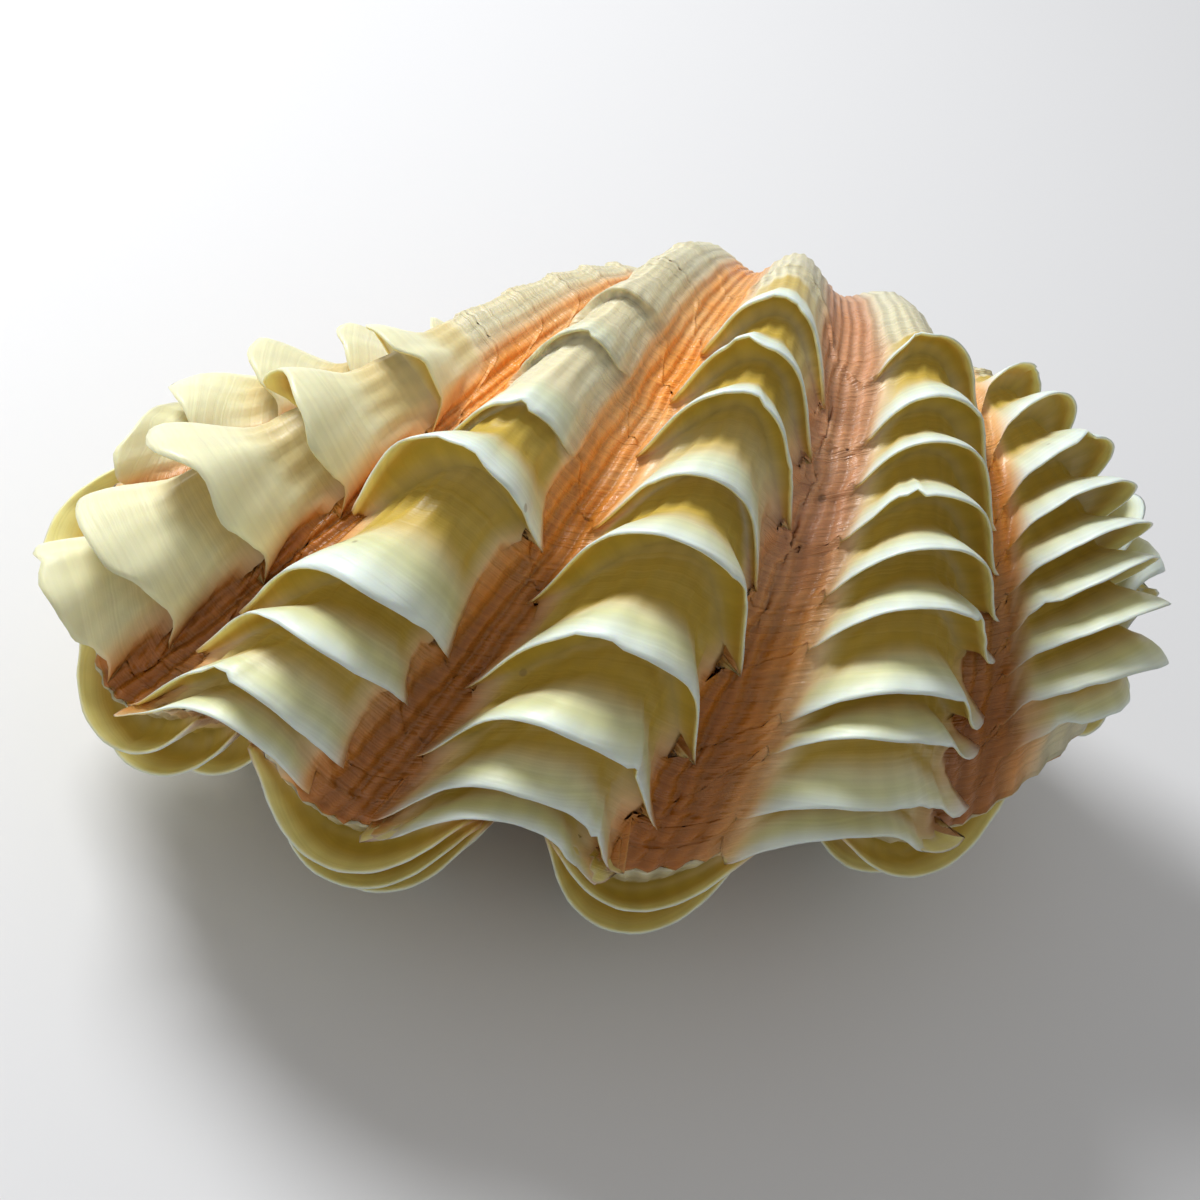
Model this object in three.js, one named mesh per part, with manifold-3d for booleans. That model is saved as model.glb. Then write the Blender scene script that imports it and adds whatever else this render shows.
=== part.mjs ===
// A closed pair of fluted giant clam valves, lying on the lower valve.
// Millimetres, +Z up. The shell's length runs along X and its open (ventral) edge faces -Y.
// The origin is on the surface that the shell rests on, below the middle of its outline.
import * as THREE from 'three';
import { mergeVertices } from 'three/addons/utils/BufferGeometryUtils.js';
import Module from 'manifold-3d';

// The margin where the two valves meet, an ellipse seen from above
const HALF_LENGTH = 100;
const HALF_WIDTH = 51.4;
const LOOP_CENTRE_X = -54.7;
const LOOP_CENTRE_Y = -41.8;

// Growth: the margin turns about the hinge axis and shrinks towards the beak at the hinge
const HINGE_TURN = -0.202;
const SHRINK_PER_RADIAN = 0.62;
const BEAK_TURN = 2.95;
const HINGE_RADIUS = 5;

// Radial ribs of the upper valve, as directions from the middle of the loop, in degrees.
// The lower valve has its ribs between them.
const RIB_DIRECTIONS = [145.4, 182.6, 217.5, 250, 283.5, 327.5, 366.5];
const END_RIB_SPACING = 37.4;
const ZIGZAG_HEIGHT = 6.6;

// How deep the ribs and grooves are, how far their middle lies outside the loop, and how far from
// the margin (in radians of growth) they reach that depth
const RIB_RISE = 9;
const RIB_SWELL = 2.75;
const RISE_TURN = 0.25;

// Walls, the gap where the valves meet, and the hinge plate
const WALL = 4.5;
const MEETING_GAP = 0.4;
const HINGE_PLATE = 10;
const CAVITY_TURN = 1.9;

// The curtain that parts the valves outside the margin: how far in and out of the loop it reaches,
// and how deep it is inside the shell and beyond it
const CURTAIN_INSIDE = 0.8;
const CURTAIN_OUTSIDE = 1.6;
const CURTAIN_HOLLOW = 12;
const CURTAIN_DEPTH = 120;
const CURTAIN_CLEARANCE = 0.02;

// The slit on the hinge side that the living clam's threads pass through
const GAPE_CENTRE = 6.95;
const GAPE_HALF_LENGTH = 0.42;
const GAPE_HALF_HEIGHT = 1.7;

// The dried ligament along the straight part of the hinge, as seen from the beak
const LIGAMENT_MIDDLE_X = -54;
const LIGAMENT_FRONT_Y = 7.3;
const LIGAMENT_LENGTH = 44;
const LIGAMENT_HEIGHT = 8.4;
const LIGAMENT_DEPTH = 3.4;

// Leaves that stand on the ribs: the thickness of their lips, and the height of the plain growth
// ledges. Anything lower than LEAST_LEAF is only a ledge, and from FULL_LEAF on a whole leaf.
const LEAF_EDGE = 1.3;
const LEDGE_LIFT = 0.35;
const LEAST_LEAF = 0.6;
const FULL_LEAF = 3.6;

// Where leaves start and stop, in radians of growth: the lowest hollow, how far a lip may hang
// past the margin, the least room between two hollows, and the shortest hollow
const LEAST_TURN = 0.014;
const PAST_MARGIN = 0.06;
const TONGUE_PAST_MARGIN = 0.15;
const LEAST_SPACING = 0.035;
const LEAST_REACH = 0.006;
const LAST_LEDGE_TURN = 1.62;
const BARE_BEAK_TURN = 0.12;

// A leaf's face is low in the valley behind it and rises steeply towards its lip. Its reach
// tapers towards its ends, where its line joins the next rib's in the groove.
const MIDDLE_OF_FACE = 0.66;
const MIDDLE_LIFT = 0.5;
const REACH_TAPER = 0.75;
const GROOVE_START = 0.3;
const GROOVE_MIDDLE = 0.5;
const LINE_END = 1.15;

// Where the shell rests, and where the beak is seen from the origin
const REST_HEIGHT = 48.6;
const BEAK_X = 55.3;
const BEAK_Y = 37.3;

// Each rib's leaves: the shell sizes at the middle of their lips (1 is the full-grown margin), how
// far each stands out and how far they reach over (in millimetres), where across the rib they end
// and peak (in rib widths), how far their two ends lie nearer the margin (in radians of growth),
// and how square their two corners are. A tongue (1) reaches out beyond its size, a hood (0)
// reaches back from it.
function ribLeaves(sizes, stands, over, [left, peak, right], dips, corners, tongue = 0) {
  return { sizes, stands, over, left, peak, right, dips, corners, tongue };
}

const UPPER_RIBS = [
  ribLeaves([0.96, 0.88, 0.8, 0.71, 0.62], [7, 8, 8, 7, 5], 13, [-0.4, 0.08, 0.4], [0, 0], [0, 0], 1),
  ribLeaves([0.985, 0.915, 0.832, 0.753, 0.66], [7, 11, 12, 9, 7], 18, [-0.3, 0.04, 0.48], [0, 0], [0, 0], 1),
  ribLeaves([0.995, 0.96, 0.894, 0.851, 0.745, 0.68, 0.6, 0.54], [6, 8, 10, 10, 12, 3, 2.5, 2], 5,
    [-0.4, 0.05, 0.38], [0.1, -0.02], [0, 0.1]),
  ribLeaves([0.995, 0.961, 0.899, 0.838, 0.761, 0.7, 0.637, 0.585, 0.53], [7, 9, 11, 12, 12, 5, 7, 6, 5], 4.5,
    [-0.42, -0.06, 0.4], [0.09, 0.09], [0, 0.25]),
  ribLeaves([0.99, 0.94, 0.875, 0.843, 0.78, 0.731, 0.683, 0.635, 0.59, 0.52],
    [8, 9, 10, 10, 10, 10, 9, 8, 7, 6], 4, [-0.38, -0.02, 0.42], [0.05, 0.06], [0, 0.5]),
  ribLeaves([0.925, 0.87, 0.811, 0.76, 0.713, 0.663, 0.607, 0.53, 0.46], [6, 11, 13, 13, 13, 12, 11, 9, 7], 4,
    [-0.42, -0.04, 0.38], [0, 0.08], [0, 0.6]),
  ribLeaves([0.97, 0.9, 0.83, 0.76, 0.69, 0.61, 0.54, 0.46], [12, 12, 12, 11, 10, 9, 7, 6], 4, [-0.4, 0, 0.4],
    [0.03, 0.03], [0.1, 0.1]),
];
const LOWER_RIBS = [
  ribLeaves([0.96, 0.86, 0.76, 0.65], [8, 8, 7, 6], 5, [-0.4, 0, 0.4], [0.03, 0.03], [0.2, 0.2]),
  ribLeaves([0.985, 0.91, 0.81, 0.7], [11, 11, 10, 8], 7, [-0.4, 0, 0.4], [0.03, 0.03], [0.2, 0.2]),
  ribLeaves([0.97, 0.91, 0.84, 0.76, 0.67, 0.58], [8, 10, 10, 9, 8, 6], 6, [-0.4, 0, 0.4], [0.05, 0.05],
    [0.1, 0.1]),
  ribLeaves([0.975, 0.925, 0.87, 0.8, 0.72, 0.63, 0.54], [8, 9, 9, 9, 8, 7, 6], 6, [-0.4, 0, 0.4], [0.05, 0.05],
    [0.1, 0.1]),
  ribLeaves([0.94, 0.87, 0.8, 0.72, 0.64, 0.55], [6, 9, 9, 8, 7, 6], 5, [-0.4, 0, 0.4], [0.05, 0.05], [0.1, 0.1]),
  ribLeaves([0.9, 0.83, 0.76, 0.68, 0.6, 0.51], [7, 10, 10, 9, 8, 6], 5, [-0.4, 0, 0.4], [0.04, 0.04], [0.1, 0.1]),
  ribLeaves([0.93, 0.86, 0.78, 0.7, 0.61, 0.52], [8, 11, 10, 9, 8, 6], 5, [-0.4, 0, 0.4], [0.03, 0.03], [0.1, 0.1]),
  ribLeaves([0.95, 0.83, 0.71, 0.59], [8, 8, 7, 5], 5, [-0.36, 0, 0.36], [0.02, 0.02], [0.2, 0.2]),
];

// How finely the faceted surfaces are divided
const RIB_STEPS = [0, 0.14, 0.36, 0.5, 0.64, 0.86];
const HINGE_STEPS = [7, 7.5, 7.9, 8.25, 8.6];
const BEAK_ROWS = 3;
const CAVITY_ROWS = 5;

const FIRST_U = -1;
const LAST_RIB_U = 7;
const LOOP_U = 9;
const HINGE_SPAN_U = LOOP_U - LAST_RIB_U;

function smooth(value) {
  const t = Math.min(1, Math.max(0, value));
  return t * t * (3 - 2 * t);
}

function mix(a, b, t) {
  return a + (b - a) * t;
}

// Direction of a point of the loop. u counts the ribs of the upper valve and runs past them
// round the hinge side, where it comes back to its start.
function loopAngle(u) {
  const last = RIB_DIRECTIONS.length - 1;
  const first = RIB_DIRECTIONS[0] - END_RIB_SPACING;
  const end = RIB_DIRECTIONS[last] + END_RIB_SPACING;
  if (u > LAST_RIB_U) {
    const t = (u - LAST_RIB_U) / HINGE_SPAN_U;
    return THREE.MathUtils.degToRad(mix(end, first + 360, t));
  }
  const stops = [first, ...RIB_DIRECTIONS, end];
  const place = Math.min(Math.max(u - FIRST_U, 0), stops.length - 1);
  const i = Math.min(Math.floor(place), stops.length - 2);
  const t = place - i;
  const before = i > 0 ? stops[i - 1] : 2 * stops[0] - stops[1];
  const after = i < stops.length - 2 ? stops[i + 2] : 2 * stops[i + 1] - stops[i];
  const slopeA = (stops[i + 1] - before) / 2;
  const slopeB = (after - stops[i]) / 2;
  const degrees = (1 + 2 * t) * (1 - t) ** 2 * stops[i] + t * (1 - t) ** 2 * slopeA
    + t * t * (3 - 2 * t) * stops[i + 1] + t * t * (t - 1) * slopeB;
  return THREE.MathUtils.degToRad(degrees);
}

// Ribs fade out towards the hinge
function ribStrength(u) {
  return smooth((u - FIRST_U) / 0.7) * smooth((LAST_RIB_U - u) / 0.7);
}

// The zigzag dies away sooner, because the shell grows almost along its own margin there
function zigzagStrength(u) {
  return smooth((u - FIRST_U) / 2.2) * smooth((LAST_RIB_U - u) / 1.5);
}

function keepBelow(value, limit) {
  const d = -value - limit;
  return -limit - 0.5 * (d + Math.sqrt(d * d + 16));
}

function gapeLift(u) {
  const t = (u - GAPE_CENTRE) / GAPE_HALF_LENGTH;
  return Math.abs(t) < 1 ? GAPE_HALF_HEIGHT * (1 - t * t) ** 2 : 0;
}

// A point of a valve's smooth folded surface: side is 1 for the upper valve and -1 for the lower,
// turn is the angle grown back from the margin, and inset moves the loop inwards for the cavity
function surfacePoint(u, turn, side, inset = 0) {
  const angle = loopAngle(u);
  const along = new THREE.Vector2(Math.cos(angle) / HALF_LENGTH, Math.sin(angle) / HALF_WIDTH).normalize();
  const strength = ribStrength(u);
  const wave = Math.cos(2 * Math.PI * u) * strength;
  const rise = inset > 0 ? 0 : (RIB_SWELL + RIB_RISE * 0.5 * side * wave) * strength
    * smooth(turn / RISE_TURN);
  const outward = rise - inset;
  const px = LOOP_CENTRE_X + HALF_LENGTH * Math.cos(angle) + outward * along.x;
  const py = LOOP_CENTRE_Y + HALF_WIDTH * Math.sin(angle) + outward * along.y;
  const zigzag = ZIGZAG_HEIGHT * Math.cos(2 * Math.PI * u) * zigzagStrength(u);
  const pz = zigzag + side * gapeLift(u) * Math.exp(-turn / 0.2);
  const c = Math.cos(HINGE_TURN);
  const s = Math.sin(HINGE_TURN);
  const limit = inset > 0 ? HINGE_RADIUS + HINGE_PLATE : HINGE_RADIUS;
  let vx = c * px + s * py;
  let vy = keepBelow(-s * px + c * py, limit);
  if (inset > 0) {
    const t = Math.min(turn / CAVITY_TURN, 1);
    const close = Math.sqrt(Math.max(0, 1 - t * t));
    const mx = c * LOOP_CENTRE_X + s * LOOP_CENTRE_Y;
    const my = -s * LOOP_CENTRE_X + c * LOOP_CENTRE_Y;
    vx = mix(mx, vx, close);
    vy = mix(my, vy, close);
  }
  const size = Math.exp(-SHRINK_PER_RADIAN * turn);
  const a = side * turn;
  const y = (vy * Math.cos(a) + pz * Math.sin(a)) * size;
  const z = (-vy * Math.sin(a) + pz * Math.cos(a)) * size;
  const x = vx * size;
  return new THREE.Vector3(c * x - s * y, s * x + c * y, z);
}

function outwardNormal(u, turn, side) {
  const step = 0.002;
  const acrossRib = surfacePoint(u + step, turn, side).sub(surfacePoint(u - step, turn, side));
  const toMargin = surfacePoint(u, turn - step, side).sub(surfacePoint(u, turn + step, side));
  return toMargin.cross(acrossRib).multiplyScalar(side).normalize();
}

// How far a place across the rib is from the peak of its leaves towards their end
function farFromPeak(x, rib) {
  return x < rib.peak ? (rib.peak - x) / (rib.peak - rib.left) : (x - rib.peak) / (rib.right - rib.peak);
}

// How high a leaf stands across its rib, from 1 at its peak to 0 at its ends
function leafShape(x, rib) {
  const far = Math.min(farFromPeak(x, rib), 1);
  return mix((1 - far ** 2) ** 1.15, (1 - far ** 5) ** 0.8, rib.corners[x < rib.peak ? 0 : 1]);
}

// How much nearer the margin a leaf's line lies than at its peak
function lineDip(x, rib) {
  return rib.dips[x < rib.peak ? 0 : 1] * Math.min(farFromPeak(x, rib), LINE_END) ** 2;
}

// Leaf lines of one rib, as turns grown back from the margin. Ribs with fewer leaves than the
// valve's count carry plain growth lines beyond their last leaf.
function ribLines(rib, count) {
  const turns = rib.sizes.map((size) => -Math.log(size) / SHRINK_PER_RADIAN);
  const stands = [...rib.stands];
  const extra = count - turns.length;
  const last = turns[turns.length - 1];
  for (let i = 1; i <= extra; i += 1) {
    turns.push(mix(last, LAST_LEDGE_TURN, i / (extra + 1)));
    stands.push(LEDGE_LIFT);
  }
  return { ...rib, turns, stands };
}

// The leaves seen at any u: those of the nearest rib, whose lines join the next rib's in the groove
function leavesAt(u, lines, firstRib) {
  const place = Math.min(Math.max(u - firstRib, 0), lines.length - 1);
  const nearest = Math.round(place);
  const x = u - firstRib - nearest;
  const step = x < 0 ? -1 : 1;
  const other = Math.min(Math.max(nearest + step, 0), lines.length - 1);
  const inGroove = smooth((Math.abs(x) - GROOVE_START) / (GROOVE_MIDDLE - GROOVE_START));
  const blend = other === nearest ? 0 : 0.5 * inGroove;
  const rib = lines[nearest];
  const dip = mix(lineDip(x, rib), lineDip(x + nearest - other, lines[other]), blend);
  return {
    rib,
    shape: leafShape(x, rib),
    turns: rib.turns.map((turn, j) => mix(turn, lines[other].turns[j], blend) - dip),
  };
}

// Distance that the surface covers for each radian that it grows
function growthSpeed(u, turn, side) {
  const step = 0.01;
  return surfacePoint(u, turn + step, side).distanceTo(surfacePoint(u, turn, side)) / step;
}

// One column of the outer surface, from the margin back to the beak
function outerColumn(u, side, lines, firstRib) {
  const onRibs = smooth((u - FIRST_U) / 0.45) * smooth((LAST_RIB_U - u) / 0.45);
  const { rib, shape: ownShape, turns } = leavesAt(u, lines, firstRib);
  const shape = ownShape * onRibs;
  const least = mix(LEAST_TURN, -mix(PAST_MARGIN, TONGUE_PAST_MARGIN, rib.tongue), smooth(2 * shape));
  const leaves = [];
  const tallest = Math.max(...rib.stands);
  turns.forEach((turn, j) => {
    const leafy = smooth((rib.stands[j] - LEAST_LEAF) / (FULL_LEAF - LEAST_LEAF));
    const size = Math.exp(-SHRINK_PER_RADIAN * turn);
    const share = mix(1, rib.stands[j] / tallest, rib.tongue) * leafy;
    const reach = rib.over * size * share * shape ** REACH_TAPER;
    const over = reach / growthSpeed(u, Math.max(turn, 0), side);
    const before = j > 0 ? leaves[j - 1].root + LEAST_SPACING : LEAST_TURN;
    const root = Math.max(turn + (1 - rib.tongue) * over, before);
    const lip = Math.min(Math.max(turn - rib.tongue * over, least), root - LEAST_REACH);
    leaves.push({ root, lip, lift: rib.stands[j] * shape + LEDGE_LIFT });
  });
  const column = [{ turn: 0, lift: 0 }];
  leaves.forEach(({ root, lip, lift }, j) => {
    const next = j + 1 < leaves.length ? leaves[j + 1].root : root + BARE_BEAK_TURN;
    const edge = Math.min(LEAF_EDGE, 0.35 * lift);
    column.push({ turn: root, lift: 0 });
    column.push({ turn: lip + 0.5 * LEAST_REACH, lift: lift - edge });
    column.push({ turn: lip, lift });
    column.push({ turn: mix(next, lip, MIDDLE_OF_FACE), lift: MIDDLE_LIFT * lift });
  });
  const lastTurn = column[column.length - 1].turn;
  for (let i = 1; i <= BEAK_ROWS; i += 1) {
    column.push({ turn: mix(lastTurn, BEAK_TURN, i / BEAK_ROWS), lift: 0 });
  }
  return column.map(({ turn, lift }, row) => {
    const even = (BEAK_TURN * row) / (column.length - 1);
    return { turn: mix(even, turn, onRibs), lift: lift * onRibs };
  });
}

// Both valves use the same columns, so that their facets meet all along the zigzag margin
function columnPlaces() {
  const places = [];
  for (let u = FIRST_U; u < LAST_RIB_U; u += 1) {
    RIB_STEPS.forEach((step) => places.push(u + step));
  }
  return places.concat(HINGE_STEPS);
}

// A closed solid from rings of equal length: the outer surface, then the rim, then the cavity
function solidFromRings(rings, side, startPole, endPole) {
  const count = rings[0].length;
  const points = rings.flat().concat([startPole, endPole]);
  const start = points.length - 2;
  const end = points.length - 1;
  const faces = [];
  const add = (a, b, c) => {
    if (side < 0) faces.push(a, b, c);
    else faces.push(a, c, b);
  };
  for (let k = 0; k < count; k += 1) {
    const next = (k + 1) % count;
    add(start, next, k);
    for (let row = 0; row + 1 < rings.length; row += 1) {
      const a = row * count + k;
      const b = row * count + next;
      add(a, b, b + count);
      add(a, b + count, a + count);
    }
    const last = (rings.length - 1) * count;
    add(end, last + k, last + next);
  }
  const geometry = new THREE.BufferGeometry();
  const positions = new Float32Array(points.flatMap((p) => [p.x, p.y, p.z]));
  geometry.setAttribute('position', new THREE.BufferAttribute(positions, 3));
  geometry.setIndex(faces);
  return geometry;
}

function middleOf(ring) {
  const sum = ring.reduce((total, p) => total.add(p), new THREE.Vector3());
  return sum.divideScalar(ring.length);
}

function valveGeometry(side, ribs, firstRib) {
  const count = Math.max(...ribs.map((rib) => rib.sizes.length));
  const lines = ribs.map((rib) => ribLines(rib, count));
  const places = columnPlaces();
  const columns = places.map((u) => outerColumn(u, side, lines, firstRib).map(({ turn, lift }) => {
    const point = surfacePoint(u, turn, side);
    return lift > 0 ? point.addScaledVector(outwardNormal(u, turn, side), lift) : point;
  }));
  const rings = [];
  for (let row = columns[0].length - 1; row >= 0; row -= 1) {
    rings.push(columns.map((column) => column[row]));
  }
  const beak = middleOf(rings[0]);
  for (let row = 0; row < CAVITY_ROWS; row += 1) {
    const turn = CAVITY_TURN * Math.sin((0.5 * Math.PI * row) / CAVITY_ROWS);
    rings.push(places.map((u) => surfacePoint(u, turn, side, WALL)));
  }
  const deep = surfacePoint(0, CAVITY_TURN, side, WALL);
  const geometry = solidFromRings(rings, side, beak, deep);
  geometry.translate(BEAK_X, BEAK_Y, REST_HEIGHT + 0.5 * MEETING_GAP * side);
  return geometry;
}

const wasm = await Module();
wasm.setup();

function toSolid(geometry) {
  const bare = geometry.clone();
  bare.deleteAttribute('normal');
  bare.deleteAttribute('uv');
  const merged = mergeVertices(bare);
  return new wasm.Manifold(new wasm.Mesh({
    numProp: 3,
    vertProperties: new Float32Array(merged.attributes.position.array),
    triVerts: new Uint32Array(merged.index.array),
  }));
}

function toGeometry(solid) {
  const mesh = solid.getMesh();
  const geometry = new THREE.BufferGeometry();
  geometry.setAttribute('position', new THREE.BufferAttribute(new Float32Array(mesh.vertProperties), 3));
  geometry.setIndex(new THREE.BufferAttribute(new Uint32Array(mesh.triVerts), 1));
  return geometry;
}

// The space on the other valve's side of the zigzag, carried outwards past the margin.
// Leaves that would reach into it stop short of the other valve.
function otherSide(side) {
  const margin = columnPlaces().map((u) => surfacePoint(u, 0, side));
  const centre = new THREE.Vector3(LOOP_CENTRE_X, LOOP_CENTRE_Y, 0);
  const ring = (spread, height) => margin.map((p) => {
    const q = p.clone().sub(centre).multiplyScalar(spread).add(centre);
    q.z = height(p);
    return q;
  });
  const hollow = -CURTAIN_HOLLOW * side;
  const away = -CURTAIN_DEPTH * side;
  const rings = [
    ring(CURTAIN_INSIDE, () => hollow),
    ring(1, (p) => p.z - CURTAIN_CLEARANCE * side),
    ring(CURTAIN_OUTSIDE, (p) => p.z - CURTAIN_CLEARANCE * side),
    ring(CURTAIN_OUTSIDE, () => away),
  ];
  const solid = solidFromRings(rings, side, centre.clone().setZ(hollow), centre.clone().setZ(away));
  return solid.translate(BEAK_X, BEAK_Y, REST_HEIGHT + 0.5 * MEETING_GAP * side);
}

// The surface that the shell rests on, below which the lowest leaves are worn away
function restSlab() {
  const slab = new THREE.BoxGeometry(4 * HALF_LENGTH, 4 * HALF_LENGTH, REST_HEIGHT);
  return slab.translate(0, 0, -0.5 * REST_HEIGHT);
}

function trimmed(geometry, cutters) {
  const cut = cutters.reduce((solid, cutter) => solid.subtract(toSolid(cutter)), toSolid(geometry));
  return toGeometry(cut);
}

// A lens of dried ligament with a flat front against the hinge
function ligamentGeometry() {
  const lens = new THREE.SphereGeometry(1, 16, 8);
  lens.rotateZ(0.5 * Math.PI);
  lens.scale(0.5 * LIGAMENT_LENGTH, LIGAMENT_DEPTH, 0.5 * LIGAMENT_HEIGHT);
  lens.translate(BEAK_X + LIGAMENT_MIDDLE_X, BEAK_Y + LIGAMENT_FRONT_Y, REST_HEIGHT);
  const front = new THREE.BoxGeometry(2 * LIGAMENT_LENGTH, 2 * LIGAMENT_LENGTH, 2 * LIGAMENT_LENGTH);
  front.translate(BEAK_X + LIGAMENT_MIDDLE_X, BEAK_Y + LIGAMENT_FRONT_Y - LIGAMENT_LENGTH, REST_HEIGHT);
  return trimmed(lens, [front]);
}

function namedMesh(name, geometry, color, roughness) {
  geometry.computeVertexNormals();
  const mesh = new THREE.Mesh(geometry, new THREE.MeshStandardMaterial({ color, roughness, metalness: 0 }));
  mesh.name = name;
  return mesh;
}

const shell = new THREE.Group();
const upperValve = trimmed(valveGeometry(1, UPPER_RIBS, 0), [otherSide(1)]);
const lowerValve = trimmed(valveGeometry(-1, LOWER_RIBS, -0.5), [otherSide(-1), restSlab()]);
shell.add(namedMesh('upper_valve', upperValve, 0xe6dcc0, 0.5));
shell.add(namedMesh('lower_valve', lowerValve, 0xdccfa8, 0.55));
shell.add(namedMesh('ligament', ligamentGeometry(), 0x4a2c18, 0.7));

export default shell;
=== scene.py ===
"""A closed pair of fluted giant clam valves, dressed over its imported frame."""

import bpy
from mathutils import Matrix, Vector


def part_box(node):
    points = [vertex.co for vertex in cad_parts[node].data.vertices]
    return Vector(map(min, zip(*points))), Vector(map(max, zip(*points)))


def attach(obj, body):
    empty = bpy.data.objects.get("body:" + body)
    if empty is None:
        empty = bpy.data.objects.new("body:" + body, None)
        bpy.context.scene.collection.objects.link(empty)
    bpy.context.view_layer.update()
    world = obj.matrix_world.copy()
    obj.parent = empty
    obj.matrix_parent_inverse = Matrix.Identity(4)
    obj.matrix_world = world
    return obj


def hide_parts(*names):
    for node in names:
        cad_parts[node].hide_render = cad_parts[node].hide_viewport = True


bl_info = {
    "name": "Fluted Giant Clam",
    "version": (1, 0, 0),
    "blender": (4, 5, 0),
    "location": "3D View > Sidebar > Clam Shell",
    "description": "Builds a closed pair of fluted giant clam valves on a plain pale stage",
    "category": "Add Mesh",
}

import math

import bpy
import numpy as np
from bpy.props import FloatProperty, FloatVectorProperty, IntProperty, PointerProperty
from mathutils import Matrix, Vector

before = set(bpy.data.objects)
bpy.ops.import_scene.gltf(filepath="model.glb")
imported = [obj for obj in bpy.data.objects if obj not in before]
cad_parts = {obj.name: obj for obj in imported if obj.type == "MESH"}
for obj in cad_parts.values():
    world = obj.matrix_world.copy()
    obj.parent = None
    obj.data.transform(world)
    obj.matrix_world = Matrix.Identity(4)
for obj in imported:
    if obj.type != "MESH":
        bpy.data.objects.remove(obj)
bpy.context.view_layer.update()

MM = 0.001

# The margin where the valves meet, and how the shell grew from its beak, in millimetres and radians
HALF_LENGTH = 100.0
HALF_WIDTH = 51.4
LOOP_CENTRE = (-54.7, -41.8)
HINGE_TURN = -0.202
SHRINK = 0.62
BEAK_TURN = 2.95
BEAK = (55.3, 37.3, 48.6)
RIB_DIRECTIONS = (145.4, 182.6, 217.5, 250.0, 283.5, 327.5, 366.5)
END_RIB_SPACING = 37.4
ZIGZAG_HEIGHT = 6.6
RIB_RISE = 9.0
RIB_SWELL = 2.75
RISE_TURN = 0.25
MEETING_GAP = 0.4

# The hinge side, the hollow inside and the small gape near the hinge
HINGE_RADIUS = 5.0
HINGE_EASE = 4.0
HINGE_PLATE = 10.0
WALL = 4.5
CAVITY_TURN = 1.9
GAPE_CENTRE = 6.95
GAPE_HALF_LENGTH = 0.42
GAPE_HALF_HEIGHT = 1.7
GAPE_TURN = 0.2

# Places round the loop count the upper ribs from 0 and go on round the plain hinge side
LOOP_START = -1.0
HINGE_START = 7.0
LOOP_END = 9.0
RIB_FADE = 0.7
LEAF_FADE = 0.45
ZIGZAG_FADES = (2.2, 1.5)
DUSKY_GROOVE = 3.55

# A stop in the growth becomes a leaf as its height passes from the first of these to their sum
LEAST_LEAF = 0.6
LEAF_RANGE = 3.0
# Below this height a leaf's end dies away into a ledge
FIRM_LEAF = 1.2
PLAIN_STOP = 0.5
LAST_LEDGE_TURN = 1.62
# Limits of the leaves, in radians of growth
LINE_WANDER = 0.008
LEAST_LIP_TURN = 0.006
LEAST_ROOT_TURN = 0.012
LEAST_REACH = 0.002
LEAST_SPACING = 0.035
LEDGE_LENGTH = 0.025
LAST_FACE = 0.12
PAST_MARGIN = 0.1
TONGUE_PAST_MARGIN = 0.15
# Ragged lips and growth ledges, in millimetres
NICK_DEPTH = 1.2
NICK_RARITY = 0.8
NICK_SOFTNESS = 0.12
NICKS_PER_RIB = 9.0
CRUMBS_PER_RIB = 60.0
RIPPLES_PER_RIB = 31.0
WAVES_PER_RIB = 11.0
LIP_RIPPLE = 0.25
TONGUE_WAVE = 5.0
LEDGE_HEIGHT = 0.1
LEDGE_RIPPLE = 0.25
DUSKY_LEDGE = 0.9
# Share of a leaf's height that its corners flare sideways, blunt and sharp
FLARES = (0.1, 1.2)
# Limits of fine relief: it fades where a leaf stands high and where the shell rests
RELIEF_LEAF = 2.5
RELIEF_REST = 2.0
MARGIN_CLEARANCE = 0.05
# The growth UV map spans these many ribs round the loop, and these many radians of growth
UV_LENGTH = 10.0
UV_TURN = 3.0


def rib_leaves(sizes, stands, over, span, dips, corners, tongue=0.0):
    """One rib's leaves: the shell sizes at the middle of their lips, how far each stands out and how
    far they reach over (in millimetres), where across the rib they end and peak (in rib widths), how
    far their ends lie nearer the margin (in radians of growth), and how square their corners are.
    A tongue (1) reaches out beyond its size, a hood (0) reaches back from it."""
    return dict(
        sizes=sizes, stands=stands, over=over, left=span[0], peak=span[1], right=span[2],
        dip_left=dips[0], dip_right=dips[1], sharp_left=corners[0], sharp_right=corners[1], tongue=tongue,
    )


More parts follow.
